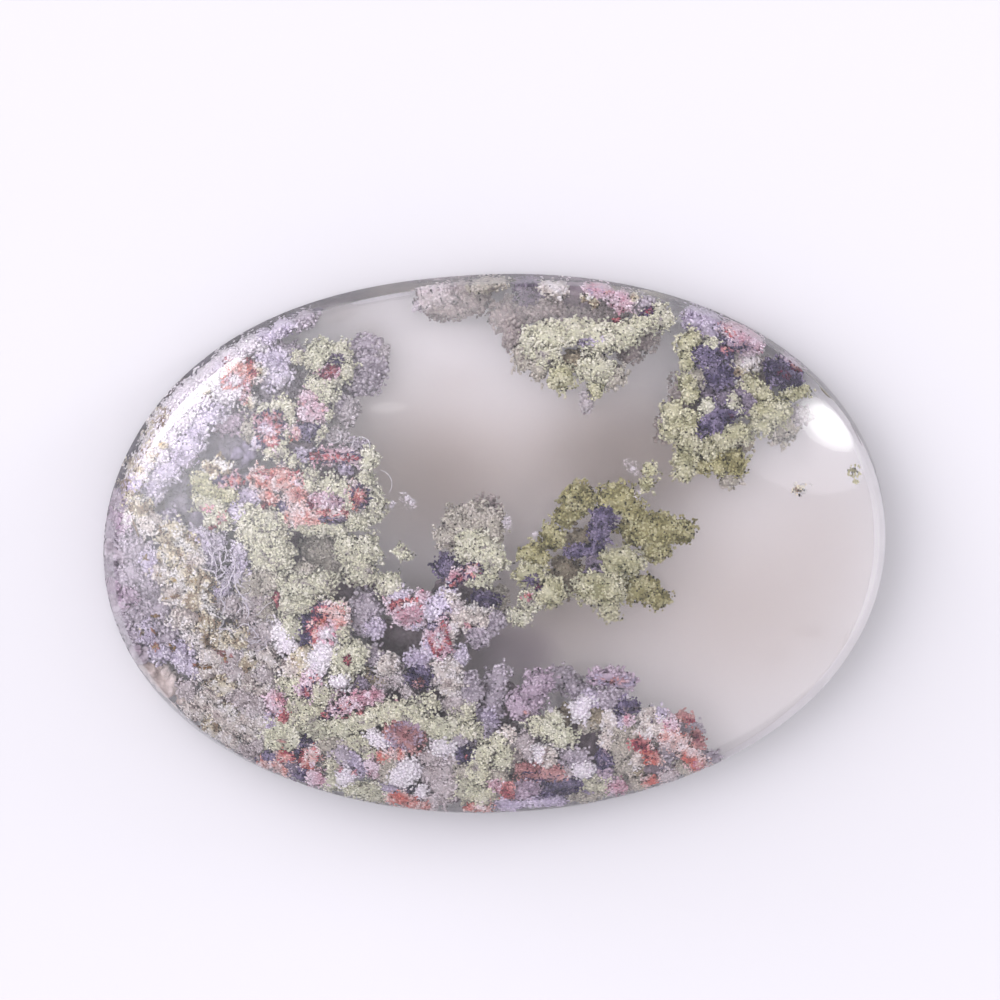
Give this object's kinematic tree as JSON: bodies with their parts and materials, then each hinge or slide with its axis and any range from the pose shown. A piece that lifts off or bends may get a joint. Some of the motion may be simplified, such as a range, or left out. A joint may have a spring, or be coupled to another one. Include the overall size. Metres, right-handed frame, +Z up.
{
  "type": "moss agate cabochon",
  "caption": "Oval translucent agate cabochon with a polished dome over a flat bevelled back and mossy mineral plumes inside.",
  "frame": {"origin": "middle of the flat back, at the height of the surface that the stone lies on", "axes": "+Z up, out of the top of the dome; +X along the long axis of the oval; +Y along its short axis"},
  "size_m": [0.032, 0.022, 0.0062],
  "materials": {
    "agate": "polished, translucent, pale taupe grey",
    "moss": "matt granular mineral inclusions, sage green, pink, violet and lavender grey"
  },
  "bodies": {
    "root": {"cabochon": "agate"}
  },
  "joints": []
}
